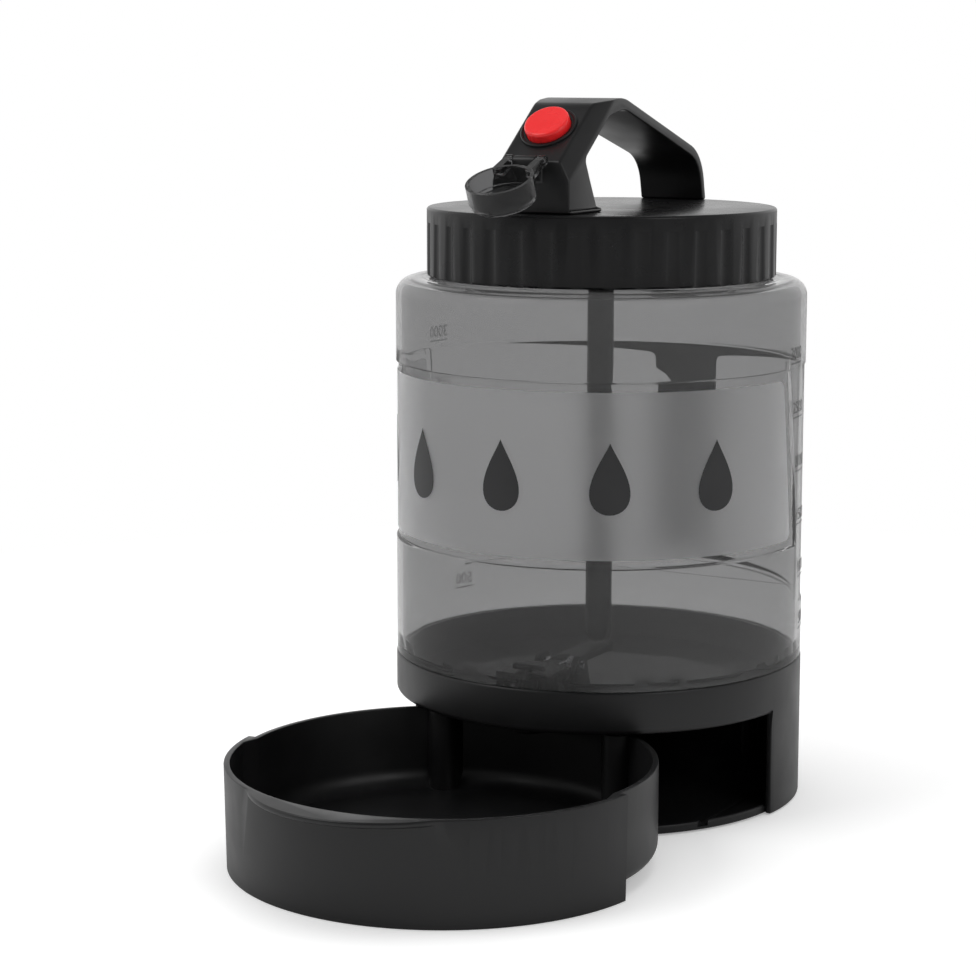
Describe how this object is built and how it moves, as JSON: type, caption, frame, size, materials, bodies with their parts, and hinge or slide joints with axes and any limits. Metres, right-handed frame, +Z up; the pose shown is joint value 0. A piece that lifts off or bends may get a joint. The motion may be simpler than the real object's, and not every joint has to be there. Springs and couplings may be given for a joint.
{
  "type": "dog travel water bottle",
  "caption": "Round jar on a base with a pull-out drinking bowl; a push button in the carry handle opens a valve in the jar's floor through a long rod.",
  "frame": {"origin": "centre of the round base, in the plane that its feet stand on", "axes": "+Z up along the jar's axis, -Y the front that the bowl slides out of, +X to the right when seen from behind the bowl looking at the jar"},
  "size_m": [0.1624, 0.2924, 0.2758],
  "materials": {
    "black_plastic": "satin moulded",
    "smoky_plastic": "clear, smoke tinted",
    "frosted_film": "frosted translucent",
    "red_plastic": "smooth",
    "rubber": "matt",
    "silicone": "matt",
    "steel": "bright wire and pins"
  },
  "bodies": {
    "base": {"base_housing": "black_plastic", "base_floor": "black_plastic", "base_screws": "steel", "rubber_feet": "rubber", "bottle": "smoky_plastic", "label_panel": "frosted_film", "rear_grip": "rubber", "outlet_body": "black_plastic", "outlet_gasket": "silicone", "outlet_nut": "black_plastic", "valve_lever_pin": "steel"},
    "bowl": {"bowl": "black_plastic"},
    "gasket": {"lid_gasket": "silicone"},
    "lid": {"lid_cap": "black_plastic", "lid_liner": "black_plastic", "liner_screws": "steel", "handle": "black_plastic", "handle_screws": "steel", "lid_lever_pin": "steel", "button_guide": "black_plastic", "button_bezel": "black_plastic", "button_spring": "steel", "rod_seal": "silicone", "rod_spring": "steel", "cover_pin": "steel"},
    "button": {"push_button": "red_plastic"},
    "crank": {"lid_lever": "black_plastic"},
    "rod": {"push_rod": "black_plastic"},
    "cover": {"button_cover": "smoky_plastic"},
    "valve_rocker": {"valve_lever": "black_plastic", "valve_spring": "steel"},
    "valve": {"valve_plug": "silicone", "valve_stem": "black_plastic"}
  },
  "joints": [
    {"name": "bowl_slide", "type": "slide", "parent": "base", "child": "bowl", "axis": [0, 1, 0], "range_m": [0, 0.1213]},
    {"name": "lid_rise", "type": "slide", "parent": "base", "child": "gasket", "axis": [0, 0, 1], "range_m": [0, 0.0076]},
    {"name": "lid_turn", "type": "hinge", "parent": "gasket", "child": "lid", "pos_m": [0, 0, 0.2], "axis": [0, 0, 1], "range_deg": [0, 540]},
    {"name": "button_press", "type": "slide", "parent": "lid", "child": "button", "axis": [0, 0.6211, -0.7837], "range_m": [0, 0.003], "stiffness_N_per_m": 1200, "springref_m": -0.004, "deforming": ["button_spring"]},
    {"name": "lid_lever_turn", "type": "hinge", "parent": "lid", "child": "crank", "pos_m": [0, -0.052, 0.238], "axis": [-1, 0, 0], "range_deg": [0, 7.6]},
    {"name": "rod_slide", "type": "slide", "parent": "lid", "child": "rod", "axis": [0, 0, -1], "range_m": [0, 0.0068], "deforming": ["rod_spring"]},
    {"name": "valve_lever_turn", "type": "hinge", "parent": "base", "child": "valve_rocker", "pos_m": [0, -0.032, 0.0565], "axis": [-1, 0, 0], "range_deg": [0, 12]},
    {"name": "valve_lift", "type": "slide", "parent": "base", "child": "valve", "axis": [0, 0, 1], "range_m": [0, 0.0056]},
    {"name": "cover_flip", "type": "hinge", "parent": "lid", "child": "cover", "pos_m": [0, -0.06161, 0.25347], "axis": [-1, 0, 0], "range_deg": [0, 164.9]}
  ],
  "couplings": [
    {"joint": "lid_rise", "follows": "lid_turn", "m_per_rad": 0.00079577},
    {"joint": "lid_lever_turn", "follows": "button_press", "rad_per_m": 43.5},
    {"joint": "rod_slide", "follows": "button_press", "ratio": 2.2333},
    {"joint": "valve_lever_turn", "follows": "button_press", "rad_per_m": 69.3},
    {"joint": "valve_lift", "follows": "button_press", "ratio": 1.8167}
  ]
}
